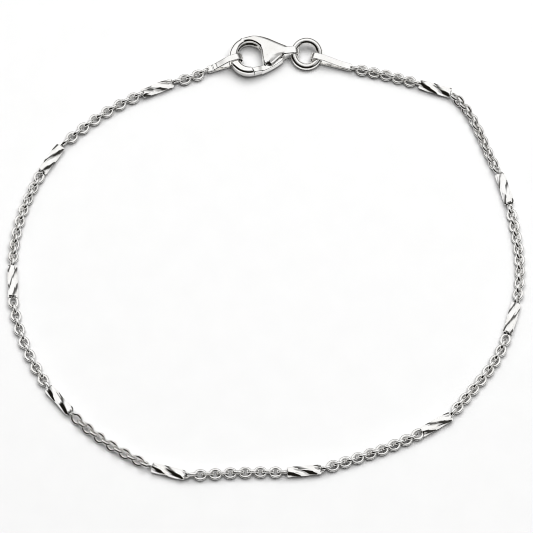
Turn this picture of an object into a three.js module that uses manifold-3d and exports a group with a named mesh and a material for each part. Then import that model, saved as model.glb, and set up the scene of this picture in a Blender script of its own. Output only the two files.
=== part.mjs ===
// A fine silver bracelet: a cable chain with ten twisted tube beads, closed by a lobster clasp.
// The bracelet lies flat in a closed loop. Millimetres, +Z up. The origin is on the surface that it
// lies on, under the middle of its outline.

import * as THREE from 'three';
import { mergeVertices } from 'three/addons/utils/BufferGeometryUtils.js';
import Module from 'manifold-3d';

const wasm = await Module();
wasm.setup();

// ---------------------------------------------------------------- driving dimensions

const FRAME_SHIFT = new THREE.Vector2(0.03, -1.67); // from the loop's drawing frame to the origin

// Beads: twisted tubes with flat cuts along them.
const BEAD = { length: 3.9, radius: 0.61, bore: 0.45, cuts: 8, twistDeg: 80, steps: 8 };

// Chain: the space that its links fill, and the plain stretch hidden in each bead's bore.
const CHAIN = { radius: 0.6, sides: 8, steps: 8, height: 0.61, mouthGap: 0.38, tagGap: 0.15 };
const THREAD = { radius: 0.25, overlap: 0.3, halfGap: 0.05 };
const CURVE_HANDLE = 0.36; // Bezier handle length, as a part of the run's chord

// Clasp, drawn with its hook's centre at (0, 0) and its tail towards +x.
const CLASP = { x: -2.07, y: 26.17, headingDeg: 6 };
const HOOK = { outer: 2.45, inner: 1.7, bottom: 0.28, top: 1.8, bevel: 0.2, startDeg: 80, endDeg: 278 };
const BODY = { bottom: 0, top: 1.9, bevel: 0.22 };
const TAIL = { start: 4.5, axisX: 5.31, radius: 0.72, height: 0.95, width: 0.97, y: 0.065 };
const POCKET = { bottom: 0.4, top: 1.4 };
const PIVOT = { x: 2.35, y: -0.95, pin: 0.22, bore: 0.3, hub: 0.5 };
const LEVER = { bottom: 0.5, top: 1.3, gateBottom: 0.45, gateTop: 1.62, gateBevel: 0.12 };

// Jump ring through the clasp's tail, leaning up at its far side.
const RING = { x: 4.78, y: 26.56, z: 0.95, major: 1.53, wire: 0.4, leanDeg: 16, clearance: 0.08 };

// Folded strips at the chain's ends. s runs from the fold's axis to the strip's round end.
const STRIP = { width: 0.75, thickness: 0.2, post: 0.16, steps: 26 };
const CLASP_TAG = { x: -3.78, y: 25.67, z: 1.04, fold: 0.92, headingDeg: 199, straight: 0.85,
  pressed: 2.1, length: 3.61, endHeight: 0.62, endHalfGap: 0.24 };
const RING_TAG = { x: 6.0, y: 26.01, z: 0.78, fold: 0.66, headingDeg: -16, straight: 0.85,
  pressed: 3.2, length: 4.48, endHeight: 0.62, endHalfGap: 0.3 };

// Beads in the order of the loop, from the clasp's hook round to its ring:
// [centre x, centre y, heading and the roll of its cuts round its axis, in degrees]
const BEADS = [
  [-13.05, 22.2, -158, 7],
  [-25.5, 13.15, -124, 25],
  [-29.65, -2.05, -88, 27],
  [-23.85, -16.4, -48, 10],
  [-11.2, -24.8, -15, 14],
  [4.3, -24.75, 5, 24],
  [19.5, -19.25, 30, 21],
  [28.55, -6.5, 73, 30],
  [28.1, 9.45, 106, 29],
  [20.15, 22.15, 162, 32],
];

// Runs of chain between them: [heading where the run leaves, heading where it arrives], in degrees
const RUNS = [
  [213, 197],
  [204, 224],
  [242, 270],
  [278, 303],
  [314, 335],
  [3, 358],
  [18, 27],
  [53, 73],
  [76, 101],
  [119, 140],
  [162, 169],
];
const MEETING_BEAD = 4; // the two chain nodes meet in the fifth bead

// ---------------------------------------------------------------- helpers

const silver = (color, roughness) => new THREE.MeshStandardMaterial({ color, roughness, metalness: 1 });
const POLISHED = silver(0xdcdcda, 0.12);
const CUT = silver(0xe4e4e2, 0.06);
const WIRE = silver(0xd6d6d4, 0.18);

const direction = (deg) => {
  const angle = THREE.MathUtils.degToRad(deg);
  return new THREE.Vector3(Math.cos(angle), Math.sin(angle), 0);
};

function toSolid(geometry) {
  const plain = geometry.clone();
  plain.deleteAttribute('normal');
  plain.deleteAttribute('uv');
  const merged = mergeVertices(plain, 1e-4);
  return new wasm.Manifold(new wasm.Mesh({
    numProp: 3,
    vertProperties: new Float32Array(merged.attributes.position.array),
    triVerts: new Uint32Array(merged.index.array),
  }));
}

function toGeometry(solid) {
  const mesh = solid.getMesh();
  const geometry = new THREE.BufferGeometry();
  geometry.setAttribute('position', new THREE.BufferAttribute(mesh.vertProperties, 3));
  geometry.setIndex(new THREE.BufferAttribute(mesh.triVerts, 1));
  geometry.computeVertexNormals();
  return geometry;
}

const join = (solids) => solids.reduce((total, solid) => total.add(solid));

function regularPolygon(radius, sides) {
  const shape = new THREE.Shape();
  for (let i = 0; i < sides; i += 1) {
    const angle = ((i + 0.5) * 2 * Math.PI) / sides;
    const point = [radius * Math.cos(angle), radius * Math.sin(angle)];
    if (i === 0) shape.moveTo(...point);
    else shape.lineTo(...point);
  }
  shape.closePath();
  return shape;
}

// A plate between two heights, with rounded-off edges that stay inside its outline.
function plate(shape, bottom, top, bevel, curveSegments = 8) {
  const geometry = new THREE.ExtrudeGeometry(shape, {
    depth: top - bottom - 2 * bevel,
    bevelEnabled: bevel > 0,
    bevelThickness: bevel,
    bevelSize: bevel,
    bevelOffset: -bevel,
    bevelSegments: 2,
    curveSegments,
  });
  geometry.translate(0, 0, bottom + bevel);
  return geometry;
}

// A post along Z between two heights.
function post(radius, bottom, top, x, y, sides = 12) {
  const geometry = new THREE.CylinderGeometry(radius, radius, top - bottom, sides);
  geometry.rotateX(Math.PI / 2);
  geometry.translate(x, y, (bottom + top) / 2);
  return geometry;
}

function sweep(shape, curve, steps) {
  return new THREE.ExtrudeGeometry(shape, { steps, extrudePath: curve, bevelEnabled: false });
}

// ---------------------------------------------------------------- the loop's route

const beadPlaces = BEADS.map(([x, y, headingDeg, rollDeg]) => {
  const centre = new THREE.Vector3(x, y, CHAIN.height);
  const along = direction(headingDeg).multiplyScalar(BEAD.length / 2);
  const start = centre.clone().sub(along);
  const end = centre.clone().add(along);
  return { centre, headingDeg, rollDeg, start, end };
});

function tagEnd({ x, y, length, headingDeg }, gap) {
  const reach = direction(headingDeg).multiplyScalar(length + gap);
  return new THREE.Vector3(x, y, CHAIN.height).add(reach);
}

function runCurve(index) {
  const [leave, arrive] = RUNS[index];
  const first = index === 0;
  const last = index === RUNS.length - 1;
  const start = first ? tagEnd(CLASP_TAG, CHAIN.tagGap)
    : beadPlaces[index - 1].end.clone().addScaledVector(direction(leave), CHAIN.mouthGap);
  const end = last ? tagEnd(RING_TAG, CHAIN.tagGap)
    : beadPlaces[index].start.clone().addScaledVector(direction(arrive), -CHAIN.mouthGap);
  const handle = start.distanceTo(end) * CURVE_HANDLE;
  return new THREE.CubicBezierCurve3(
    start,
    start.clone().addScaledVector(direction(leave), handle),
    end.clone().addScaledVector(direction(arrive), -handle),
    end,
  );
}

const runs = RUNS.map((_, index) => runCurve(index));

// ---------------------------------------------------------------- chain and beads

const runSolid = (curve) => toSolid(sweep(regularPolygon(CHAIN.radius, CHAIN.sides), curve, CHAIN.steps));

// The thread in a bead's bore, from one of its ends, or from its middle, to the other.
function threadSolid(place, from, to) {
  const reach = BEAD.length / 2 + CHAIN.mouthGap + THREAD.overlap;
  const along = direction(place.headingDeg);
  const line = new THREE.LineCurve3(
    place.centre.clone().addScaledVector(along, from * reach || THREAD.halfGap),
    place.centre.clone().addScaledVector(along, to * reach || -THREAD.halfGap),
  );
  return toSolid(sweep(regularPolygon(THREAD.radius, CHAIN.sides), line, 1));
}

function chainGeometry(firstRun, lastRun) {
  const parts = [];
  for (let i = firstRun; i <= lastRun; i += 1) {
    parts.push(runSolid(runs[i]));
    const place = beadPlaces[i];
    if (place && i < MEETING_BEAD) parts.push(threadSolid(place, -1, 1));
    if (place && i === MEETING_BEAD) parts.push(threadSolid(place, -1, 0));
    if (place && i > MEETING_BEAD) parts.push(threadSolid(place, -1, 1));
  }
  if (firstRun > 0) parts.push(threadSolid(beadPlaces[firstRun - 1], 0, 1));
  return toGeometry(join(parts));
}

// A tube with flat cuts that wind round it as a right-handed screw.
function beadGeometry(rollDeg) {
  const shape = regularPolygon(BEAD.radius, BEAD.cuts);
  shape.holes.push(regularPolygon(BEAD.bore, BEAD.cuts));
  const geometry = new THREE.ExtrudeGeometry(shape, {
    depth: BEAD.length,
    steps: BEAD.steps,
    bevelEnabled: false,
  });
  geometry.translate(0, 0, -BEAD.length / 2);
  const twist = THREE.MathUtils.degToRad(BEAD.twistDeg) / BEAD.length;
  const roll = THREE.MathUtils.degToRad(rollDeg);
  const position = geometry.attributes.position;
  const point = new THREE.Vector3();
  for (let i = 0; i < position.count; i += 1) {
    point.fromBufferAttribute(position, i);
    point.applyAxisAngle(new THREE.Vector3(0, 0, 1), roll + twist * point.z);
    position.setXYZ(i, point.x, point.y, point.z);
  }
  geometry.rotateY(Math.PI / 2);
  geometry.computeVertexNormals();
  return geometry;
}

// ---------------------------------------------------------------- clasp

function hookShape() {
  const start = THREE.MathUtils.degToRad(HOOK.startDeg);
  const end = THREE.MathUtils.degToRad(HOOK.endDeg);
  const shape = new THREE.Shape();
  shape.absarc(0, 0, HOOK.outer, start, end, false);
  shape.absarc(0, 0, HOOK.inner, end - 0.12, start, true);
  shape.closePath();
  return shape;
}

function bodyShape() {
  const start = THREE.MathUtils.degToRad(HOOK.startDeg);
  const rim = (HOOK.inner + HOOK.outer) / 2;
  const shape = new THREE.Shape();
  shape.moveTo(rim * Math.cos(start + 0.26), rim * Math.sin(start + 0.26));
  shape.absarc(0, 0, HOOK.inner, start, 0.42, true);
  shape.lineTo(1.52, -0.3);
  shape.lineTo(1.63, -1.38);
  shape.quadraticCurveTo(1.75, -1.75, 2.3, -1.58);
  shape.bezierCurveTo(3.1, -1.25, 3.6, -0.46, 4.6, -0.42);
  shape.lineTo(5.0, -0.42);
  shape.lineTo(5.0, 0.55);
  shape.bezierCurveTo(4.1, 0.9, 2.9, 2.3, HOOK.outer * Math.cos(start), HOOK.outer * Math.sin(start));
  shape.closePath();
  return shape;
}

// The tail: a rounded lug with its eye across it.
function tailGeometry() {
  const { start, axisX, radius, height, width, y } = TAIL;
  const shape = new THREE.Shape();
  shape.moveTo(start, height - radius);
  shape.lineTo(axisX, height - radius);
  shape.absarc(axisX, height, radius, -Math.PI / 2, Math.PI / 2, false);
  shape.lineTo(start, height + radius);
  shape.closePath();
  const geometry = new THREE.ExtrudeGeometry(shape, { depth: width, bevelEnabled: false, curveSegments: 8 });
  geometry.rotateX(Math.PI / 2);
  geometry.translate(0, y + width / 2, 0);
  return geometry;
}

// The room that the lever lies and swings in, open at the clasp's side.
function pocketShape() {
  const shape = new THREE.Shape();
  shape.moveTo(1.2, -2.8);
  shape.lineTo(4.45, -2.8);
  shape.lineTo(4.45, -0.55);
  shape.lineTo(3.3, -0.3);
  shape.lineTo(1.2, -0.3);
  shape.closePath();
  return shape;
}

function leverPlateShape() {
  const { x, y, hub } = PIVOT;
  const shape = new THREE.Shape();
  shape.moveTo(1.1, -1.74);
  shape.lineTo(1.62, -1.5);
  shape.absarc(x, y, hub, THREE.MathUtils.degToRad(200), THREE.MathUtils.degToRad(20), true);
  shape.quadraticCurveTo(3.3, -0.72, 3.9, -0.72);
  shape.quadraticCurveTo(4.35, -0.72, 4.05, -1.18);
  shape.quadraticCurveTo(3.1, -2.0, 1.3, -2.3);
  shape.closePath();
  return shape;
}

function gateShape() {
  const shape = new THREE.Shape();
  shape.moveTo(0.22, -1.86);
  shape.quadraticCurveTo(0.9, -1.78, 1.45, -1.58);
  shape.lineTo(1.75, -2.16);
  shape.quadraticCurveTo(1.1, -2.4, 0.5, -2.41);
  shape.closePath();
  return shape;
}

const ringGeometry = (wire) => {
  const geometry = new THREE.TorusGeometry(RING.major, wire, 10, 28);
  geometry.rotateX(THREE.MathUtils.degToRad(RING.leanDeg));
  geometry.translate(RING.x, RING.y, RING.z);
  return geometry;
};

function placeClasp(object) {
  object.rotation.z = THREE.MathUtils.degToRad(CLASP.headingDeg);
  object.position.set(CLASP.x, CLASP.y, 0);
  object.updateMatrix();
  return object;
}

// The room that the jump ring needs in the tail's eye, in the clasp's own frame.
function eyeSolid() {
  const geometry = ringGeometry(RING.wire + RING.clearance);
  const toClasp = placeClasp(new THREE.Object3D()).matrix.clone().invert();
  return toSolid(geometry.applyMatrix4(toClasp));
}

function claspBodyGeometry() {
  const solid = toSolid(plate(bodyShape(), BODY.bottom, BODY.top, BODY.bevel))
    .add(toSolid(plate(hookShape(), HOOK.bottom, HOOK.top, HOOK.bevel, 10)))
    .subtract(toSolid(plate(pocketShape(), POCKET.bottom, POCKET.top, 0)))
    .add(toSolid(tailGeometry()))
    .add(toSolid(post(PIVOT.pin, POCKET.bottom - 0.1, POCKET.top + 0.1, PIVOT.x, PIVOT.y)))
    .subtract(eyeSolid());
  return toGeometry(solid);
}

function leverGeometry() {
  const solid = toSolid(plate(leverPlateShape(), LEVER.bottom, LEVER.top, 0, 8))
    .add(toSolid(plate(gateShape(), LEVER.gateBottom, LEVER.gateTop, LEVER.gateBevel, 5)))
    .subtract(toSolid(post(PIVOT.bore, 0, BODY.top, PIVOT.x, PIVOT.y)));
  return toGeometry(solid);
}

// ---------------------------------------------------------------- folded strips

// The folded strip's middle line in its own XZ plane, with the fold's axis at x = 0.
function foldCurve(tag) {
  const points = [];
  const leaf = (side) => [
    new THREE.Vector3(tag.length, 0, tag.endHeight + side * tag.endHalfGap),
    new THREE.Vector3(tag.pressed, 0, tag.endHeight + side * tag.endHalfGap),
    new THREE.Vector3(tag.straight, 0, tag.z + side * tag.fold),
  ];
  points.push(...leaf(-1));
  for (let i = 0; i <= 8; i += 1) {
    const angle = -Math.PI / 2 - (Math.PI * i) / 8;
    points.push(new THREE.Vector3(tag.fold * Math.cos(angle), 0, tag.z + tag.fold * Math.sin(angle)));
  }
  points.push(...leaf(1).reverse());
  const path = new THREE.CurvePath();
  for (let i = 1; i < points.length; i += 1) path.add(new THREE.LineCurve3(points[i - 1], points[i]));
  return path;
}

function stripPlan(tag) {
  const half = STRIP.width / 2;
  const shape = new THREE.Shape();
  shape.moveTo(-tag.fold - STRIP.thickness, -half);
  shape.lineTo(tag.length - half, -half);
  shape.absarc(tag.length - half, 0, half, -Math.PI / 2, Math.PI / 2, false);
  shape.lineTo(-tag.fold - STRIP.thickness, half);
  shape.closePath();
  return shape;
}

function tagGeometry(tag) {
  const section = new THREE.Shape();
  const halfWidth = STRIP.width / 2;
  const halfThickness = STRIP.thickness / 2;
  section.moveTo(-halfThickness, -halfWidth);
  section.lineTo(halfThickness, -halfWidth);
  section.lineTo(halfThickness, halfWidth);
  section.lineTo(-halfThickness, halfWidth);
  section.closePath();
  const strip = toSolid(sweep(section, foldCurve(tag), STRIP.steps));
  const plan = toSolid(plate(stripPlan(tag), -1, 4, 0, 8));
  const pin = toSolid(post(STRIP.post, tag.endHeight - tag.endHalfGap, tag.endHeight + tag.endHalfGap,
    tag.length - halfWidth, 0, 8));
  return toGeometry(strip.intersect(plan).add(pin));
}

// ---------------------------------------------------------------- the bracelet

function named(name, geometry, material) {
  const mesh = new THREE.Mesh(geometry, material);
  mesh.name = name;
  return mesh;
}

const group = new THREE.Group();

group.add(placeClasp(named('clasp_body', claspBodyGeometry(), POLISHED)));
group.add(placeClasp(named('clasp_lever', leverGeometry(), POLISHED)));
group.add(named('jump_ring', ringGeometry(RING.wire), POLISHED));

[['clasp_tag', CLASP_TAG], ['ring_tag', RING_TAG]].forEach(([name, tag]) => {
  const mesh = named(name, tagGeometry(tag), POLISHED);
  mesh.rotation.z = THREE.MathUtils.degToRad(tag.headingDeg);
  mesh.position.set(tag.x, tag.y, 0);
  group.add(mesh);
});

beadPlaces.forEach(({ centre, headingDeg, rollDeg }, index) => {
  const mesh = named(`bead_${String(index + 1).padStart(2, '0')}`, beadGeometry(rollDeg), CUT);
  mesh.rotation.z = THREE.MathUtils.degToRad(headingDeg);
  mesh.position.copy(centre);
  group.add(mesh);
});

group.add(named('chain_left', chainGeometry(0, MEETING_BEAD), WIRE));
group.add(named('chain_right', chainGeometry(MEETING_BEAD + 1, RUNS.length - 1), WIRE));

group.position.set(FRAME_SHIFT.x, FRAME_SHIFT.y, 0);
export default group;
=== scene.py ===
# The looks of a fine silver bracelet: a cable chain with ten twisted tube beads, closed by a lobster
# clasp. Sizes are in millimetres in the functions below and become metres when a mesh is made.

import math

import bpy
import numpy as np
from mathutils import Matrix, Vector


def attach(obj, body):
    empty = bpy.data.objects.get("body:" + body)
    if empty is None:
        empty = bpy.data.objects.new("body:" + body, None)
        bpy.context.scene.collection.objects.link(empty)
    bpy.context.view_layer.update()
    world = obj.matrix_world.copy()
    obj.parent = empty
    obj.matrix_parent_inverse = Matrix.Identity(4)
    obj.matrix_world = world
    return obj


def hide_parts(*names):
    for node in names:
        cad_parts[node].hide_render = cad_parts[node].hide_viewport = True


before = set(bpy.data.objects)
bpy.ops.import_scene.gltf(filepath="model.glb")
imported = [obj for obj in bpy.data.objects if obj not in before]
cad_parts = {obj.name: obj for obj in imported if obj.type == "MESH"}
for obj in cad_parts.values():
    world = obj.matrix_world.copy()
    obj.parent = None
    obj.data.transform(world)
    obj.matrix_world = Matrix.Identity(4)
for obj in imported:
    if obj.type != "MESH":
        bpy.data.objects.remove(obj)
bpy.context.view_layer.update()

MM = 0.001

# ------------------------------------------------------------------ sizes

# From the origin that the places below are measured from to the model's.
SHIFT = np.array([0.03, -1.67])
# Height of the beads' middle line, and of the chain's at their mouths.
CHAIN_Z = 0.61

# The flats sink by hollow in their middle. The ends are chamfered over edge and shoulder, in lengths.
BEAD = dict(length=3.9, radius=0.61, bore=0.45, cuts=8, twist=80.0, hollow=0.024,
            edge=0.008, shoulder=0.022)
LINK = dict(length=1.58, width=1.34, wire=0.33)
MOUTH_LINK = dict(length=1.02, width=0.8, wire=0.2)
# How square the links' wire is (2 is round), and the points round a link and round its wire.
LINK_SQUARE = 3.6
LINK_SEGMENTS = 28
LINK_SIDES = 16

# The clasp is drawn in its own frame, X from the hook to the tail, and set down turned by heading.
CLASP = dict(x=-2.07, y=26.17, heading=6.0)
HOOK = dict(x=-0.02, y=-0.06, outer=2.41, bottom=0.28, top=1.8, edge=0.38, far_edge=0.52,
            inner_edge=0.28, foot_edge=0.1, root=0.8)
TIP = dict(x=0.05, y=-1.65, heading=21)
HOLE = dict(x=0.05, y=0.02, radius=1.6, stretch=1.08)
GROOVE = dict(depth=0.2, lip=0.02, ledge=(0.62, 0.82), roof=(1.1, 1.26))
# The drops are how far the body's top falls from its crown: to the tail, along the far edge, on the far
# shoulder, and to the rim beside the lever.
BODY = dict(crown=1.9, tail_drop=0.25, edge_drop=0.1, shoulder_drop=0.24, rim_drop=0.3, rim=0.36)
TAIL = dict(x=(4.3, 5.31), y=0.065, z=0.95, radius=0.72, half_width=0.485)
POCKET = dict(z=0.9, half=0.5)
PIVOT = dict(x=2.35, y=-0.95, pin=0.22, bore=0.3, hub=0.5, half=0.6)
LEVER = dict(half=0.4, top=1.64, step=0.33, bottom=0.45)
# How soft the edges are where a cut meets the body, and where a piece ends.
CUT_EDGE = 0.08
FINE_EDGE = 0.05
BORE_EDGE = 0.04

RING = dict(x=4.8, y=26.515, z=0.95, major=1.55, wire=0.42, lean=16.0, clearance=0.06)
STRIP = dict(width=0.75, thickness=0.2, groove=0.07)
CLASP_TAG = dict(x=-3.78, y=25.67, z=1.04, fold=0.92, heading=199.0, straight=0.6, pressed=2.7,
                 length=3.61, end_z=0.62, half_gap=0.24)
RING_TAG = dict(x=6.0, y=26.01, z=0.79, fold=0.68, heading=-16.0, straight=0.85, pressed=3.2,
                length=4.48, end_z=0.62, half_gap=0.3)

# Bead centres x, y, headings and how far each is rolled on its axis, in the order of the loop.
BEADS = [
    (-13.05, 22.2, -158, 7), (-25.5, 13.15, -124, 25), (-29.65, -2.05, -88, 27),
    (-23.85, -16.4, -48, 10), (-11.2, -24.8, -15, 14), (4.3, -24.75, 5, 24),
    (19.5, -19.25, 30, 21), (28.55, -6.5, 73, 30), (28.1, 9.45, 106, 29), (20.15, 22.15, 162, 32),
]
# Runs of chain: heading at the start and at the end, the place of the first and of the last link that
# lies the first way, how many lie that way, and how far those are rolled from flat. The links between
# them are a quarter turn further.
RUNS = [
    dict(leave=213, arrive=197, first=1.2, last=2.85, count=2, roll=-10),
    dict(leave=204, arrive=224, first=1.2, last=9.98, count=6, roll=-12),
    dict(leave=242, arrive=270, first=0.7, last=11.0, count=8, roll=-24),
    dict(leave=278, arrive=303, first=0.55, last=10.75, count=7, roll=-10),
    dict(leave=314, arrive=335, first=1.05, last=9.7, count=6, roll=30),
    dict(leave=3, arrive=358, first=1.75, last=10.35, count=6, roll=5),
    dict(leave=18, arrive=27, first=1.42, last=11.87, count=8, roll=8),
    dict(leave=53, arrive=73, first=1.31, last=11.32, count=8, roll=-8),
    dict(leave=76, arrive=101, first=1.1, last=10.9, count=8, roll=-24),
    dict(leave=119, arrive=140, first=1.5, last=10.4, count=7, roll=-42),
    dict(leave=162, arrive=169, first=1.2, last=7.1, count=5, roll=-14),
]
# The chain's two nodes meet inside this bead, counted from 0.
MEETING_BEAD = 4
# Most that a link is rolled from its run's way, in degrees.
ROLL_SPREAD = 5
# A run's control points stand this share of its chord from its ends.
HANDLE = 0.36

rng = np.random.default_rng(7)


# ------------------------------------------------------------------ small helpers

def turn(deg):
    a = math.radians(deg)
    return np.array([math.cos(a), math.sin(a)])


def spin_about_z(heading):
    """Turns rows of points or normals by heading degrees when they are multiplied by it."""
    c, s = turn(heading)
    return np.array([[c, s, 0], [-s, c, 0], [0, 0, 1]])


def set_down(points, place, z=0.0):
    """From a drawing frame that is turned about Z and set down at a place, to the model's."""
    move = np.array([place["x"] + SHIFT[0], place["y"] + SHIFT[1], z])
    return points @ spin_about_z(place["heading"]) + move


def rise(value, start, end):
    """0 at start, 1 at end and straight between them. The end may be the lower one."""
    return np.clip((value - start) / (end - start), 0, 1)


def ease(t):
    return t * t * (3 - 2 * t)


def add_mesh(name, verts, faces, normals=None):
    mesh = bpy.data.meshes.new(name)
    mesh.from_pydata((np.asarray(verts) * MM).tolist(), [], faces)
    mesh.polygons.foreach_set("use_smooth", [True] * len(mesh.polygons))
    mesh.update()
    if normals is not None:
        mesh.normals_split_custom_set_from_vertices(normals.tolist())
    obj = bpy.data.objects.new(name, mesh)
    bpy.context.scene.collection.objects.link(obj)
    return obj


def grid_faces(rows, cols, start=0, closed_rows=False):
    """Quads over rows of points, each row closed on itself, and the rows too if closed_rows."""
    faces = []
    for i in range(rows if closed_rows else rows - 1):
        for j in range(cols):
            a = start + i * cols + j
            b = start + i * cols + (j + 1) % cols
            c = start + ((i + 1) % rows) * cols + (j + 1) % cols
            d = start + ((i + 1) % rows) * cols + j
            faces.append((a, b, c, d))
    return faces


# ------------------------------------------------------------------ solids from distance fields

def newton(field, points, steps=3, near=0.004, wide=0.016, least_slope=0.25, longest_move=0.03):
    """Moves points onto the field's surface and gives the outward normals, over a wider reach."""
    for step in range(steps + 1):
        x, y, z = points.T
        eps = near if step < steps else wide
        value = field(x, y, z)
        slope = np.stack([
            field(x + eps, y, z) - field(x - eps, y, z),
            field(x, y + eps, z) - field(x, y - eps, z),
            field(x, y, z + eps) - field(x, y, z - eps),
        ], axis=1) / (2 * eps)
        size = np.maximum(np.linalg.norm(slope, axis=1), least_slope)[:, None]
        if step < steps:
            move = np.clip(value[:, None] / size, -longest_move, longest_move)
            points = points - move * slope / size
    return points, slope / size


def carve(field, low, high, step):
    """The surface where the field is zero, as quads: one point for each cell that it crosses."""
    axes = [np.arange(a - 2 * step, b + 2.5 * step, step) for a, b in zip(low, high)]
    x = axes[0][:, None, None]
    y = axes[1][None, :, None]
    z = axes[2][None, None, :]
    values = field(x, y, z) + np.zeros((len(axes[0]), len(axes[1]), len(axes[2])))
    n = values.shape

    # A cell's point is the mean of the places where the surface crosses the cell's edges.
    total = np.zeros((n[0] - 1, n[1] - 1, n[2] - 1, 3))
    count = np.zeros(total.shape[:3])
    crossings = []
    for axis in range(3):
        a = values.take(range(n[axis] - 1), axis)
        b = values.take(range(1, n[axis]), axis)
        cross = (a < 0) != (b < 0)
        crossings.append((cross, a < 0))
        t = np.where(cross, a / np.where(cross, a - b, 1), 0)
        place = np.stack(np.meshgrid(*[np.arange(k) for k in a.shape], indexing="ij"), -1).astype(float)
        place[..., axis] += t
        others = [k for k in range(3) if k != axis]
        for du in (0, 1):
            for dv in (0, 1):
                cut = [slice(None)] * 3
                cut[others[0]] = slice(du, n[others[0]] - 1 + du)
                cut[others[1]] = slice(dv, n[others[1]] - 1 + dv)
                hit = cross[tuple(cut)]
                total += place[tuple(cut)] * hit[..., None]
                count += hit
    used = count > 0
    ids = np.full(count.shape, -1)
    ids[used] = np.arange(used.sum())
    start = np.array([axis[0] for axis in axes])
    points = total[used] / count[used][:, None] * step + start

    # Each crossed edge gives the quad between the four cells round it.
    faces = []
    for axis in range(3):
        cross, first_inside = crossings[axis]
        u, v = [k for k in range(3) if k != axis]
        where = np.argwhere(cross)
        keep = (where[:, u] > 0) & (where[:, v] > 0)
        keep &= (where[:, u] < n[u] - 1) & (where[:, v] < n[v] - 1)
        where = where[keep]
        corner = []
        for du, dv in ((-1, -1), (0, -1), (0, 0), (-1, 0)):
            cell = where.copy()
            cell[:, u] += du
            cell[:, v] += dv
            corner.append(ids[cell[:, 0], cell[:, 1], cell[:, 2]])
        quads = np.stack(corner, 1)
        flip = first_inside[where[:, 0], where[:, 1], where[:, 2]]
        if axis == 1:
            flip = ~flip
        quads[~flip] = quads[~flip][:, ::-1]
        faces.append(quads)
    points, normals = newton(field, points)
    return points, np.concatenate(faces).tolist(), normals


def smooth_min(a, b, k):
    """The lower of two fields, blended where they are within k of each other."""
    h = np.clip(0.5 + 0.5 * (b - a) / k, 0, 1)
    return b + (a - b) * h - k * h * (1 - h)


def smooth_max(a, b, k):
    return -smooth_min(-a, -b, k)


def round_max(a, b, r):
    """Meet of two half-spaces with an edge rounded to radius r."""
    outside = np.sqrt(np.maximum(a + r, 0) ** 2 + np.maximum(b + r, 0) ** 2)
    return np.minimum(np.maximum(a, b), -r) + outside


def outline_distance(points):
    """A function that gives the signed distance to a closed outline, negative inside."""
    ends = np.asarray(points, float)
    starts = np.roll(ends, 1, axis=0)

    def distance(x, y):
        best = np.full(np.broadcast(x, y).shape, np.inf)
        inside = np.zeros(best.shape, bool)
        for (ax, ay), (bx, by) in zip(starts, ends):
            ex, ey = bx - ax, by - ay
            t = np.clip(((x - ax) * ex + (y - ay) * ey) / (ex * ex + ey * ey), 0, 1)
            best = np.minimum(best, (x - ax - t * ex) ** 2 + (y - ay - t * ey) ** 2)
            if ay != by:
                crosses = (ay > y) != (by > y)
                inside = inside ^ (crosses & (x < ex * (y - ay) / ey + ax))
        best = np.sqrt(best)
        return np.where(inside, -best, best)

    return distance


class Outline:
    """A closed outline of lines, arcs and curves."""

    def __init__(self, x, y):
        self.points = [(x, y)]

    def line(self, *points):
        self.points.extend(points)
        return self

    def arc(self, x, y, radius, start, end, steps=14):
        for i in range(steps + 1):
            c, s = turn(start + (end - start) * i / steps)
            self.points.append((x + radius * c, y + radius * s))
        return self

    def curve(self, *controls, steps=10):
        """A Bezier curve from the last point."""
        p = [np.array(self.points[-1])] + [np.array(c) for c in controls]
        for i in range(1, steps + 1):
            t = i / steps
            level = p
            while len(level) > 1:
                level = [a * (1 - t) + b * t for a, b in zip(level, level[1:])]
            self.points.append(tuple(level[0]))
        return self

    def distance(self):
        """The outline's signed distance, without points that repeat the one before."""
        kept = [p for i, p in enumerate(self.points)
                if math.dist(p, self.points[i - 1]) > 1e-6]
        return outline_distance(kept)


# ------------------------------------------------------------------ materials

def silver(name, bright, dull, rough, waviness):
    """Polished silver: faint colour drift, fine polishing marks and a hint of waviness."""
    mat = bpy.data.materials.new(name)
    mat.use_nodes = True
    nodes = mat.node_tree.nodes
    links = mat.node_tree.links
    shader = nodes["Principled BSDF"]
    shader.inputs["Metallic"].default_value = 1.0
    coords = nodes.new("ShaderNodeTexCoord")

    def noise(scale, detail):
        node = nodes.new("ShaderNodeTexNoise")
        node.inputs["Scale"].default_value = scale
        node.inputs["Detail"].default_value = detail
        links.new(coords.outputs["Object"], node.inputs["Vector"])
        return node.outputs["Fac"]

    drift = noise(700, 3)
    tint = nodes.new("ShaderNodeValToRGB")
    for stop, place, color in zip(tint.color_ramp.elements, (0.3, 0.62), (dull, bright)):
        stop.position = place
        stop.color = (*color, 1)
    links.new(drift, tint.inputs["Fac"])
    links.new(tint.outputs["Color"], shader.inputs["Base Color"])

    spread = nodes.new("ShaderNodeMapRange")
    spread.inputs["To Min"].default_value = rough * 0.6
    spread.inputs["To Max"].default_value = rough * 1.5
    links.new(noise(5200, 4), spread.inputs["Value"])
    links.new(spread.outputs["Result"], shader.inputs["Roughness"])

    bump = nodes.new("ShaderNodeBump")
    bump.inputs["Strength"].default_value = waviness
    bump.inputs["Distance"].default_value = 0.02 * MM
    links.new(drift, bump.inputs["Height"])
    links.new(bump.outputs["Normal"], shader.inputs["Normal"])
    return mat


POLISHED = silver("polished_silver", (0.955, 0.95, 0.94), (0.9, 0.89, 0.87), 0.07, 0.25)
CUT = silver("cut_silver", (0.96, 0.955, 0.945), (0.91, 0.9, 0.88), 0.045, 0.2)
WIRE = silver("chain_silver", (0.95, 0.945, 0.935), (0.88, 0.87, 0.85), 0.09, 0.25)


def finish_piece(obj, material, slot, body, *nodes):
    obj.data.materials.append(material)
    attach(obj, body)
    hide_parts(*nodes)
    return obj


# ------------------------------------------------------------------ the clasp

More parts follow.
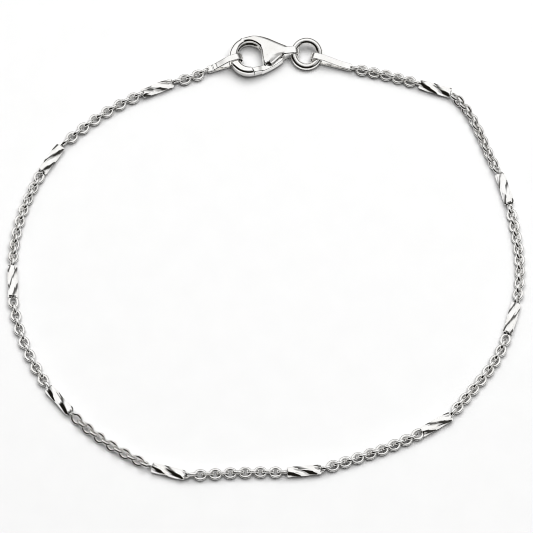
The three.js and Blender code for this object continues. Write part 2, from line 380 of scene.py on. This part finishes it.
def hole_field(x, y, z):
    """The hook's opening, negative in the metal. Its wall has a groove above the ledge at its foot."""
    depth, lip = GROOVE["depth"], GROOVE["lip"]
    groove = (depth + lip) * rise(z, *GROOVE["ledge"]) - depth * rise(z, *GROOVE["roof"]) - lip
    return HOLE["radius"] + groove - np.hypot((x - HOLE["x"]) * HOLE["stretch"], y - HOLE["y"])


def hook_field(x, y, z):
    """A round-topped hook, open in the middle."""
    out = np.hypot(x - HOOK["x"], y - HOOK["y"]) - HOOK["outer"]
    hole = hole_field(x, y, z)
    centre = (HOOK["bottom"] + HOOK["top"]) / 2
    height = np.abs(z - centre) - (HOOK["top"] - HOOK["bottom"]) / 2
    outer_edge = HOOK["edge"] + (HOOK["far_edge"] - HOOK["edge"]) * rise(y, 0, 1.2)
    inner_edge = np.where(z > centre, HOOK["inner_edge"], HOOK["foot_edge"])
    ring = np.maximum(round_max(out, height, outer_edge), round_max(hole, height, inner_edge))
    # The tip's end, across the seam to the lever, and the end inside the body.
    nx, ny = turn(TIP["heading"])
    tip = np.where(y < 0, (x - TIP["x"]) * nx + (y - TIP["y"]) * ny, -1.0)
    root = np.where(y > 0, x - HOOK["root"], -1.0)
    return round_max(round_max(ring, tip, FINE_EDGE), root, FINE_EDGE)


def body_outline():
    """The body from above: along the hook's opening, past the lever to the tail, and back."""
    o = Outline(*(2.05 * turn(112)))
    for deg in range(100, 38, -4):
        c, s = turn(deg)
        o.line((HOLE["x"] + HOLE["radius"] * c / HOLE["stretch"], HOLE["y"] + HOLE["radius"] * s))
    o.curve((1.42, 0.85), (1.48, 0.4)).line((1.53, -0.7), (1.64, -1.38))
    o.curve((1.74, -1.8), (2.3, -1.8))
    o.curve((3.1, -1.54), (3.6, -0.66), (4.6, -0.46), steps=14)
    o.line((5.0, -0.42), (5.0, 0.6))
    o.curve((4.2, 0.95), (3.3, 1.5), (2.6, 1.92))
    o.curve((1.75, 2.34), (0.6, 2.58), (-0.85, 2.16), steps=18)
    return o.distance()


def lever_outline():
    """The lever's arm from above: round the hub, along the pocket, and back along its outer side."""
    o = Outline(1.1, -1.74).line((1.62, -1.5))
    o.arc(PIVOT["x"], PIVOT["y"], PIVOT["hub"], 200, 20)
    o.curve((3.3, -0.72), (3.8, -0.66)).curve((4.15, -0.66), (3.95, -1.02))
    o.curve((3.0, -1.75), (1.3, -2.3))
    return o.distance()


def gate_outline():
    """The lever's gate from above: from the seam at the hook's tip to the arm."""
    o = Outline(0.13, -1.7).curve((0.9, -1.67), (1.6, -1.37))
    o.line((1.8, -1.52), (1.95, -1.95)).curve((1.2, -2.28), (0.4, -2.38))
    return o.distance()


BODY_PLAN = body_outline()
LEVER_PLAN = lever_outline()
GATE_PLAN = gate_outline()
# The lever's pocket, the cut at the body's end that the gate's root stands in, and the flat above it.
POCKET_PLAN = Outline(1.2, -2.8).line((4.45, -2.8), (4.45, -0.55), (3.3, -0.3), (1.2, -0.3)).distance()
END_PLAN = Outline(1.5, -1.4).line((1.82, -1.38), (2.45, -1.66), (2.45, -2.2), (1.5, -2.2)).distance()
FACET_PLAN = Outline(1.7, -1.36).line((2.74, -1.06), (2.5, -1.7), (1.8, -1.5)).distance()


def ring_distance(x, y, z):
    """Distance to the jump ring's middle line."""
    a = math.radians(RING["lean"])
    dx, dy, dz = x - RING["x"], y - RING["y"], z - RING["z"]
    v = dy * math.cos(a) + dz * math.sin(a)
    w = -dy * math.sin(a) + dz * math.cos(a)
    return np.hypot(np.hypot(dx, v) - RING["major"], w)


def pivot_distance(x, y):
    return np.hypot(x - PIVOT["x"], y - PIVOT["y"])


def shell_field(x, y, z):
    """The body's outer form, with a domed top that drops to a flat rim on the lever's side."""
    d = BODY_PLAN(x, y)
    inward = rise(-d, 0, 0.95)
    fall = rise(x, 2.2, 5.0)
    crown = BODY["crown"] - BODY["tail_drop"] * fall ** 1.5
    far = BODY["edge_drop"] + BODY["shoulder_drop"] * rise(x, 0.8, 2.3) - 0.14 * fall
    near = BODY["rim_drop"] - 0.14 * fall
    side = ease(rise(y + 0.1 * x, 0.35, -0.25) * rise(x, 1.4, 2.8))
    drop_far = far * (1 - inward) ** 3
    drop_near = near * (1 - rise(-d, BODY["rim"], BODY["rim"] + 1.1)) ** 2
    top = crown - drop_far * (1 - side) - drop_near * side
    bottom = 0.1 * (1 - inward) ** 2
    edge = 0.22 + 0.14 * side + 0.2 * rise(x, 0.6, -0.8)
    return round_max(round_max(d, (z - top) * 0.95, edge), bottom - z, 0.12)


def body_field(x, y, z):
    """The clasp's body with its hook, pocket, pin and tail, and the eye that the ring lies in."""
    pocket = np.maximum(POCKET_PLAN(x, y), np.abs(z - POCKET["z"]) - POCKET["half"])
    end = np.maximum(END_PLAN(x, y), POCKET["z"] - z)
    facet = np.maximum(FACET_PLAN(x, y), 1.6 + 0.62 * (y + 1.33) + 0.08 * (x - 1.8) - z)
    tail = np.hypot(x - np.clip(x, *TAIL["x"]), z - TAIL["z"]) - TAIL["radius"]
    tail = round_max(tail, np.abs(y - TAIL["y"]) - TAIL["half_width"], 0.14)
    pin = np.maximum(pivot_distance(x, y) - PIVOT["pin"], np.abs(z - POCKET["z"]) - PIVOT["half"])
    field = smooth_min(shell_field(x, y, z), hook_field(x, y, z), 0.2)
    # The groove goes on along the body's side of the opening, and ends before the lever.
    field = smooth_max(field, hole_field(x, y, z) - rise(y, 0.7, 0.1), FINE_EDGE)
    field = smooth_max(field, -np.minimum(np.minimum(pocket, end), facet), CUT_EDGE)
    field = np.minimum(smooth_min(field, tail, 0.1), pin)
    c, s = turn(CLASP["heading"])
    wx = CLASP["x"] + x * c - y * s
    wy = CLASP["y"] + x * s + y * c
    eye = ring_distance(wx, wy, z) - RING["wire"] - RING["clearance"]
    return smooth_max(field, -eye, BORE_EDGE)


def lever_field(x, y, z):
    """The lever: an arm beside the body, a higher gate that closes the hook, and the pin's bore."""
    arm = LEVER_PLAN(x, y) + 0.1 * (z - POCKET["z"])
    arm = round_max(arm, np.abs(z - POCKET["z"]) - LEVER["half"], 0.08)
    top = LEVER["top"] - LEVER["step"] * ease(rise(x, 0.6, 1.7))
    gate = GATE_PLAN(x, y) + 0.06 * (z - 1.2)
    gate = round_max(gate, np.maximum(z - top, LEVER["bottom"] - z), 0.1)
    bore = pivot_distance(x, y) - PIVOT["bore"]
    return smooth_max(smooth_min(arm, gate, 0.1), -bore, BORE_EDGE)


def build_cast(name, field, low, high, body, node):
    points, faces, normals = carve(field, low, high, 0.04)
    normals = normals @ spin_about_z(CLASP["heading"])
    obj = add_mesh(name, set_down(points, CLASP), faces, normals)
    finish_piece(obj, POLISHED, "polished_silver", body, node)


# ------------------------------------------------------------------ rings, strips, beads and links

def oval_ring(centre, along, across, length, width, wire, segments, sides, square=2.0):
    """Points of a ring of wire whose outer size is length by width; 2 is round wire, more is squarer."""
    up = np.cross(along, across)
    a = (length - wire) / 2
    b = (width - wire) / 2
    verts = []
    for i in range(segments):
        t = 2 * math.pi * i / segments
        c, s = math.cos(t), math.sin(t)
        middle = centre + along * (a * c) + across * (b * s)
        out = along * (b * c) + across * (a * s)
        out /= np.linalg.norm(out)
        for j in range(sides):
            p = 2 * math.pi * j / sides
            reach = (abs(math.cos(p)) ** square + abs(math.sin(p)) ** square) ** (-1 / square)
            verts.append(middle + (out * math.cos(p) + up * math.sin(p)) * (reach * wire / 2))
    return verts


def build_jump_ring(segments=120, sides=32):
    c, s = turn(RING["lean"])
    centre = np.array([RING["x"] + SHIFT[0], RING["y"] + SHIFT[1], RING["z"]])
    size = 2 * (RING["major"] + RING["wire"])
    verts = oval_ring(centre, np.array([1.0, 0, 0]), np.array([0, c, s]),
                      size, size, 2 * RING["wire"], segments, sides)
    obj = add_mesh("jump_ring_wire", verts, grid_faces(segments, sides, closed_rows=True))
    finish_piece(obj, POLISHED, "polished_silver", "bracelet", "jump_ring")


def strip_path(tag):
    """The folded strip's middle line in its XZ plane, from the lower leaf's end to the upper's."""
    def leaf(side):
        """From the strip's end: pressed on the chain, then the slope up or down, then the fold."""
        far, near = tag["length"], tag["straight"]
        low = tag["end_z"] + side * tag["half_gap"]
        high = tag["z"] + side * tag["fold"]
        out = [(s, low) for s in np.linspace(far, tag["pressed"], 18)[:-1]]
        for t in np.linspace(0, 1, 16)[:-1]:
            blend = 0.7 * t + 0.3 * ease(t)
            out.append((tag["pressed"] + (near - tag["pressed"]) * t, low + (high - low) * blend))
        return out + [(s, high) for s in np.linspace(near, 0, 6)[:-1]]

    bend = []
    for deg in np.linspace(-90, -270, 25):
        c, s = turn(deg)
        bend.append((tag["fold"] * c, tag["z"] + tag["fold"] * s))
    return leaf(-1) + bend + leaf(1)[::-1]


def build_strip(name, node, tag, grooves=(), sides=20):
    """A folded strip with round ends and a squarish section. The upper leaf may have pressed grooves."""
    path = np.array(strip_path(tag))
    half = STRIP["width"] / 2
    thick = STRIP["thickness"] / 2
    sink = STRIP["groove"]
    narrowest = 0.02
    verts = []
    last = len(path) - 1
    for i, (s, z) in enumerate(path):
        ahead = path[min(i + 1, last)] - path[max(i - 1, 0)]
        ahead /= np.linalg.norm(ahead)
        normal = np.array([ahead[1], -ahead[0]])
        past = s - (tag["length"] - half)
        wide = half if past <= 0 else math.sqrt(max(half * half - past * past, narrowest ** 2))
        if i > last / 2:
            z -= sum(sink * math.exp(-((s - g) / sink) ** 2) for g in grooves)
        for j in range(sides):
            cosine, sine = turn(360 * (j + 0.5) / sides)
            u = math.copysign(abs(cosine) ** 0.25, cosine) * wide
            v = math.copysign(abs(sine) ** 0.35, sine) * thick
            verts.append((s + normal[0] * v, -u, z + normal[1] * v))
    faces = grid_faces(len(path), sides)
    faces.append(tuple(range(sides))[::-1])
    faces.append(tuple(range(last * sides, (last + 1) * sides)))
    obj = add_mesh(name, set_down(np.array(verts), tag), faces)
    finish_piece(obj, POLISHED, "polished_silver", "bracelet", node)


def bead_radius(angle, lean):
    """Outer radius round the bead: slightly hollow flats between sharp ridges, each with its lean."""
    part = 2 * math.pi / BEAD["cuts"]
    half_flat = 0.24
    off = (angle / part) % 1 - 0.5
    flat = BEAD["radius"] * math.cos(part / 2) / np.cos(off * part)
    tilted = lean * off * part * BEAD["radius"] - abs(lean) * half_flat
    return flat - BEAD["hollow"] * (1 - (2 * off) ** 2) + tilted


def bead_profile(rows):
    """Rows along the bead: outside or bore, place in lengths from its middle, and how much is taken off."""
    edge, shoulder = BEAD["edge"], BEAD["shoulder"]
    start, mouth = 0.04, 0.03
    outside = [(edge - 0.5, 0.08), (shoulder - 0.5, 0.02)]
    outside += [(start - 0.5 + (1 - 2 * start) * i / rows, 0.0) for i in range(rows)]
    outside += [(0.5 - shoulder, 0.02), (0.5 - edge, 0.08)]
    bore = [(0.5 - edge, 0.02), (0.5 - mouth, 0.0), (0.0, 0.0), (mouth - 0.5, 0.0), (edge - 0.5, 0.02)]
    return [(True, *row) for row in outside] + [(False, *row) for row in bore]


def build_bead(index, x, y, heading, roll):
    rows, per_cut = 40, 6
    cols = BEAD["cuts"] * per_cut
    part = 2 * math.pi / BEAD["cuts"]
    verts = []
    wobble = np.random.default_rng(40 + index)
    phase = wobble.uniform(0, 1, BEAD["cuts"])
    bias = wobble.uniform(-0.05, 0.05, BEAD["cuts"])
    profile = bead_profile(rows)
    for outside, place, less in profile:
        spin = math.radians(roll + BEAD["twist"] * place)
        for j in range(cols):
            a = j * part / per_cut
            cut = j // per_cut
            lean = bias[cut] + 0.06 * math.sin(2 * math.pi * (1.5 * place + phase[cut]))
            r = bead_radius(a, lean) - less if outside else BEAD["bore"] + less
            verts.append((place * BEAD["length"], r * math.cos(a + spin - part / 2),
                          r * math.sin(a + spin - part / 2)))
    verts = np.array(verts)
    # Stretch the chamfered ends out to the bead's full length.
    verts[:, 0] *= 0.5 / (0.5 - BEAD["edge"])
    points = set_down(verts, dict(x=x, y=y, heading=heading), CHAIN_Z)
    obj = add_mesh("bead_cut_%02d" % index, points, grid_faces(len(profile), cols, closed_rows=True))
    # The ridges between the cuts are sharp.
    mesh = obj.data
    sharp = [False] * len(mesh.edges)
    for edge in mesh.edges:
        a, b = sorted(edge.vertices)
        same_ridge = a % cols == b % cols and a % per_cut == 0
        if same_ridge and b - a == cols and b < (rows + 3) * cols:
            sharp[edge.index] = True
    mesh.attributes.new("sharp_edge", "BOOLEAN", "EDGE").data.foreach_set("value", sharp)
    finish_piece(obj, CUT, "cut_silver", "bracelet", "bead_%02d" % index)


def run_curve(index):
    """Points along a run from bead to bead, and the length to each."""
    run = RUNS[index]

    def strip_end(tag):
        return np.array([tag["x"], tag["y"]]) + turn(tag["heading"]) * tag["length"]

    def bead_end(i, side):
        x, y, heading, _ = BEADS[i]
        return np.array([x, y]) + side * turn(heading) * BEAD["length"] / 2

    start = strip_end(CLASP_TAG) if index == 0 else bead_end(index - 1, 1)
    end = strip_end(RING_TAG) if index == len(RUNS) - 1 else bead_end(index, -1)
    handle = HANDLE * np.linalg.norm(end - start)
    controls = [start, start + turn(run["leave"]) * handle, end - turn(run["arrive"]) * handle, end]
    t = np.linspace(0, 1, 200)[:, None]
    points = ((1 - t) ** 3 * controls[0] + 3 * (1 - t) ** 2 * t * controls[1]
              + 3 * (1 - t) * t * t * controls[2] + t ** 3 * controls[3])
    lengths = np.concatenate([[0], np.cumsum(np.linalg.norm(np.diff(points, axis=0), axis=1))])
    return points, lengths


def link_places(run, total):
    """Where the links' middles are along a run, each with 1 if it stands a quarter turn on, else 0."""
    half_pitch = (run["last"] - run["first"]) / (run["count"] - 1) / 2
    nearest, past_end = 0.45, 0.1
    places = []
    s = run["first"]
    k = 0
    while s > nearest:
        s -= half_pitch
        k -= 1
    while s < total - past_end:
        if s > -past_end:
            places.append((s, k % 2))
        s += half_pitch
        k += 1
    return places


def link_at(points, lengths, s, roll, z, size):
    """A link's points at length s along a line, rolled about the line from lying flat."""
    ds = 0.3
    x, y = (np.interp(s, lengths, points[:, k]) for k in (0, 1))
    ahead = np.array([np.interp(s + ds, lengths, points[:, k]) - np.interp(s - ds, lengths, points[:, k])
                      for k in (0, 1)])
    ahead = np.append(ahead / np.linalg.norm(ahead), 0)
    side = np.array([-ahead[1], ahead[0], 0])
    cosine, sine = turn(roll)
    across = side * cosine + np.array([0, 0, 1.0]) * sine
    centre = np.array([x + SHIFT[0], y + SHIFT[1], z])
    return oval_ring(centre, ahead, across, size["length"], size["width"], size["wire"],
                     LINK_SEGMENTS, LINK_SIDES, LINK_SQUARE)


def build_chain(name, node, runs, beads):
    """The links of some runs, and the small ones inside some beads, as one piece."""
    mouth, climb, flat_z = 0.3, 1.2, 0.5
    inner_links, inner_start = 6, 0.4
    verts = []
    faces = []

    def add(ring):
        faces.extend(grid_faces(LINK_SEGMENTS, LINK_SIDES, len(verts), closed_rows=True))
        verts.extend(ring)

    for index in runs:
        run = RUNS[index]
        points, lengths = run_curve(index)
        total = lengths[-1]
        for s, quarter in link_places(run, total):
            roll = run["roll"] + 90 * quarter + rng.uniform(-ROLL_SPREAD, ROLL_SPREAD)
            near = min(s, total - s)
            size = MOUTH_LINK if near < mouth else LINK
            # A link rests on the ground or hangs in its neighbours, and climbs to the beads' mouths.
            tilt = abs(math.sin(math.radians(roll)))
            lowest = (size["width"] - size["wire"]) / 2 * tilt + 0.6 * size["wire"]
            z = CHAIN_Z + (max(lowest, flat_z) - CHAIN_Z) * min(near / climb, 1)
            add(link_at(points, lengths, s, roll, max(z, lowest), size))
    for index in beads:
        x, y, heading, _ = BEADS[index]
        length = BEAD["length"]
        line = np.array([np.array([x, y]) + turn(heading) * s for s in (-length / 2, length / 2)])
        for k in range(inner_links):
            s = inner_start + k * (length - 2 * inner_start) / (inner_links - 1)
            add(link_at(line, np.array([0, length]), s, 45 + 90 * (k % 2), CHAIN_Z, MOUTH_LINK))
    obj = add_mesh(name, np.array(verts), faces)
    finish_piece(obj, WIRE, "chain_silver", "bracelet", node)


build_cast("clasp_body_cast", body_field, (-2.5, -2.5, 0), (6.05, 2.6, 1.95), "bracelet", "clasp_body")
build_cast("clasp_lever_cast", lever_field, (0.05, -2.45, 0.45), (4.3, -0.4, 1.68), "lever", "clasp_lever")
build_jump_ring()
build_strip("clasp_tag_strip", "clasp_tag", CLASP_TAG, grooves=(2.45, 2.8))
build_strip("ring_tag_strip", "ring_tag", RING_TAG)
for number, bead in enumerate(BEADS, 1):
    build_bead(number, *bead)
build_chain("chain_left_links", "chain_left", range(0, MEETING_BEAD + 1), range(0, MEETING_BEAD))
build_chain("chain_right_links", "chain_right", range(MEETING_BEAD + 1, len(RUNS)),
            range(MEETING_BEAD, len(BEADS)))


# ------------------------------------------------------------------ floor, lights and camera

def build_floor(half=1.5):
    """A wide white board, in metres."""
    mesh = bpy.data.meshes.new("floor")
    corners = [(-half, -half, 0), (half, -half, 0), (half, half, 0), (-half, half, 0)]
    mesh.from_pydata(corners, [], [(0, 1, 2, 3)])
    floor = bpy.data.objects.new("floor", mesh)
    bpy.context.scene.collection.objects.link(floor)
    mat = bpy.data.materials.new("white_board")
    mat.use_nodes = True
    nodes = mat.node_tree.nodes
    shader = nodes["Principled BSDF"]
    grain = nodes.new("ShaderNodeTexNoise")
    grain.inputs["Scale"].default_value = 900
    ramp = nodes.new("ShaderNodeValToRGB")
    for stop, grey in zip(ramp.color_ramp.elements, (0.59, 0.61)):
        stop.color = (grey, grey, grey, 1)
    mat.node_tree.links.new(grain.outputs["Fac"], ramp.inputs["Fac"])
    mat.node_tree.links.new(ramp.outputs["Color"], shader.inputs["Base Color"])
    shader.inputs["Roughness"].default_value = 0.9
    shader.inputs["Specular IOR Level"].default_value = 0.1
    floor.data.materials.append(mat)


def build_world(view):
    """A white light tent with a dark opening low at the front and the dark lens above."""
    world = bpy.data.worlds.new("tent")
    world.use_nodes = True
    bpy.context.scene.world = world
    nodes = world.node_tree.nodes
    links = world.node_tree.links
    coords = nodes.new("ShaderNodeTexCoord")

    def math_node(kind, *values):
        n = nodes.new("ShaderNodeMath")
        n.operation = kind
        for socket, v in zip(n.inputs, values):
            if isinstance(v, (int, float)):
                socket.default_value = v
            else:
                links.new(v, socket)
        return n.outputs[0]

    def times(a, b):
        return math_node("MULTIPLY", a, b)

    def most(first, *others):
        for other in others:
            first = math_node("MAXIMUM", first, other)
        return first

    def toward(direction):
        """The cosine of the angle from a direction."""
        n = nodes.new("ShaderNodeVectorMath")
        n.operation = "DOT_PRODUCT"
        links.new(coords.outputs["Generated"], n.inputs[0])
        n.inputs[1].default_value = direction
        return n.outputs["Value"]

    def ramp(value, low, high):
        n = nodes.new("ShaderNodeMapRange")
        n.interpolation_type = "SMOOTHSTEP"
        links.new(value, n.inputs["Value"])
        n.inputs["From Min"].default_value = low
        n.inputs["From Max"].default_value = high
        return n.outputs["Result"]

    def cone(cosine, inner, outer):
        """1 within inner degrees, 0 beyond outer degrees."""
        return ramp(cosine, math.cos(math.radians(outer)), math.cos(math.radians(inner)))

    height = toward((0, 0, 1))
    flat = math_node("SQRT", math_node("SUBTRACT", 1.0, times(height, height)))
    flat = most(flat, 0.001)

    def sector(azimuth, inner, outer):
        """1 within inner degrees of an azimuth, 0 beyond outer degrees."""
        return cone(math_node("DIVIDE", toward((*turn(azimuth), 0)), flat), inner, outer)

    def below(low, high):
        """1 under the elevation low, 0 over the elevation high."""
        return ramp(height, math.sin(math.radians(high)), math.sin(math.radians(low)))

    # How much of the tent's white is lost: the low wall all round, the dim far wall, the open front on
    # the left, the dim right front, and the lens.
    wall = times(below(20, 38), 0.84)
    far = times(times(sector(60, 50, 80), below(24, 50)), 0.62)
    front = times(sector(-117, 48, 64), below(59, 73))
    right = times(sector(-50, 35, 60), most(times(below(32, 50), 0.95), times(below(52, 70), 0.5)))
    lens = times(cone(toward(view), 10, 20), 0.5)
    mix = nodes.new("ShaderNodeMix")
    mix.data_type = "RGBA"
    links.new(most(wall, front, right, lens, far), mix.inputs["Factor"])
    mix.inputs[6].default_value = (1.0, 1.0, 1.0, 1)
    mix.inputs[7].default_value = (0.022, 0.02, 0.016, 1)
    background = nodes["Background"]
    links.new(mix.outputs[2], background.inputs["Color"])
    background.inputs["Strength"].default_value = 1.04


def add_key(place, size, power):
    """A round light over the far side, aimed at the middle and not seen in the silver."""
    light = bpy.data.lights.new("key", "AREA")
    light.shape = "DISK"
    light.size = size
    light.energy = power
    obj = bpy.data.objects.new("key", light)
    obj.location = place
    obj.rotation_euler = (-Vector(place)).to_track_quat("-Z", "Y").to_euler()
    obj.visible_glossy = False
    bpy.context.scene.collection.objects.link(obj)


def add_camera(view, distance, width, sensor=36):
    """A camera that looks at the bracelet's middle along view, and shows this width there."""
    data = bpy.data.cameras.new("camera")
    data.sensor_width = sensor
    data.lens = sensor * distance / width
    data.clip_start = 0.01
    data.clip_end = 10
    camera = bpy.data.objects.new("camera", data)
    camera.location = Vector((SHIFT[0] * MM, SHIFT[1] * MM, 0)) + view * distance
    camera.rotation_euler = (-view).to_track_quat("-Z", "Y").to_euler()
    bpy.context.scene.collection.objects.link(camera)
    bpy.context.scene.camera = camera


ELEVATION = math.radians(72)
# The picture's width in pixels, and its scale at the bracelet's middle.
IMAGE_WIDTH = 533
PIXELS_PER_MM = 8.53

view = Vector((0, -math.cos(ELEVATION), math.sin(ELEVATION)))
add_camera(view, 325 * MM, IMAGE_WIDTH / PIXELS_PER_MM * MM)
build_floor()
build_world(tuple(view))
add_key((0.05, 0.17, 0.56), 0.56, 4.85)

scene = bpy.context.scene
scene.view_settings.view_transform = "Standard"
scene.view_settings.look = "None"
scene.view_settings.exposure = 0.0
scene.view_settings.gamma = 0.8
scene.cycles.filter_width = 1.0
